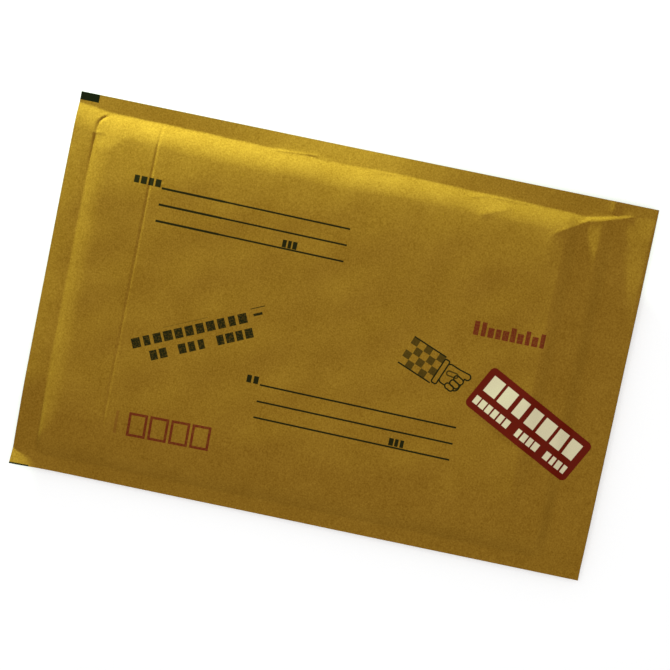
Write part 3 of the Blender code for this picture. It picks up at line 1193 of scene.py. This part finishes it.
def kraft_finish():
    """Brown paper with its grain, and the print where the attribute says printed."""
    material, graph = new_material("kraft paper")
    place = graph.add("ShaderNodeTexCoord", output="Object")
    split = graph.add("ShaderNodeSeparateXYZ", inputs={0: place})
    x, y = split.out("X") / MM, split.out("Y") / MM
    printed = graph.add("ShaderNodeAttribute", {"attribute_name": "printed"}, output="Fac")
    grain = graph.noise(place, 1100.0, 2.0)
    stretched = graph.add("ShaderNodeMapping", inputs={"Vector": place, "Scale": FIBRE_SCALE})
    fibres = graph.noise(stretched, 1.0, 3.0, distortion=1.5)
    clouds = graph.noise(place, 55.0, 3.0)
    tone = (0.85 * grain + 0.5 * fibres + 0.3 * clouds - 0.325).clamped()
    colour = graph.mixed(tone, KRAFT_DARK, KRAFT_LIGHT)
    black, stamp = black_print(x, y)
    worn = ((grain - 0.36) * 6).clamped()
    red = red_print(x, y) * (0.68 + 0.3 * worn)
    ink = union(black * 0.97, stamp * (0.74 + 0.24 * worn)) * printed
    colour = graph.mixed(red * printed, colour, RED_INK)
    colour = graph.mixed(union(ink, corner_marks(x, y, printed)), colour, BLACK_INK)
    paper = graph.add("ShaderNodeBsdfPrincipled", inputs={
        "Base Color": colour,
        "Roughness": 0.78 + 0.2 * fibres,
        "Specular IOR Level": 0.03,
        "Normal": graph.bump(0.7 * grain + 0.5 * fibres, GRAIN_RISE),
    })
    graph.add("ShaderNodeOutputMaterial", inputs={"Surface": paper})
    return material


envelope.data.materials.append(kraft_finish())
print("kraft material:", len(envelope.data.materials[0].node_tree.nodes), "nodes")

# %% [markdown]
# ### The label's finish
# The label is smoother paper, printed solid red with pale blocks. It has a little more
# sheen than the kraft beside it, and a very fine noise keeps the red from looking like a
# flat fill.

# %% The label material
LABEL_RED = linear(104, 22, 4)
LABEL_DARK = linear(92, 17, 3)
LABEL_CREAM = linear(216, 206, 168)
LABEL_RISE = 0.00001


def label_finish():
    """Red paper with two rows of pale blocks."""
    material, graph = new_material("label print")
    place = graph.add("ShaderNodeTexCoord", output="Object")
    split = graph.add("ShaderNodeSeparateXYZ", inputs={0: place})
    centre = (LABEL_CENTRE.x / MM, LABEL_CENTRE.y / MM)
    u, v = local(split.out("X") / MM, split.out("Y") / MM, centre, math.degrees(LABEL_TURN))
    grain = graph.noise(place, 900.0, 3.0)
    large = blocks(u + 33.6, v - 4.3, ((0, 7),), 9.6, 10.8, 2.0)
    small = blocks(u + 34.2, v + 7.5, ((0, 6), (7, 4), (12, 4)), 4.28, 4.9, 5.0)
    field = graph.mixed(grain, LABEL_DARK, LABEL_RED)
    colour = graph.mixed(union(large, small), field, LABEL_CREAM)
    sheet = graph.add("ShaderNodeBsdfPrincipled", inputs={
        "Base Color": colour,
        "Roughness": 0.45 + 0.2 * grain,
        "Specular IOR Level": 0.04,
        "Normal": graph.bump(grain, LABEL_RISE),
    })
    graph.add("ShaderNodeOutputMaterial", inputs={"Surface": sheet})
    return material


label.data.materials.append(label_finish())
print("label material:", len(label.data.materials[0].node_tree.nodes), "nodes")

# %% [markdown]
# ## Handing the pieces over
# Each dressed piece rides on the mailer's one body and stands for its plain solid, which is
# hidden. The lining is the mailer's padding. The sizes before and after are printed, so
# that they can be compared.

# %% Pieces, bodies and sizes
for piece, node, slot in (
    (envelope, "kraft_envelope", "kraft"),
    (plies, "bubble_lining", "bubble_film"),
    (label, "red_label", "label"),
):
    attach(piece, "root")
    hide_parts(node)

dressed_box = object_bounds()
for name, box in (("solids", cad_box), ("dressed", dressed_box)):
    print(name, [round(1000 * (high - low), 2) for low, high in zip(*box)], "mm")
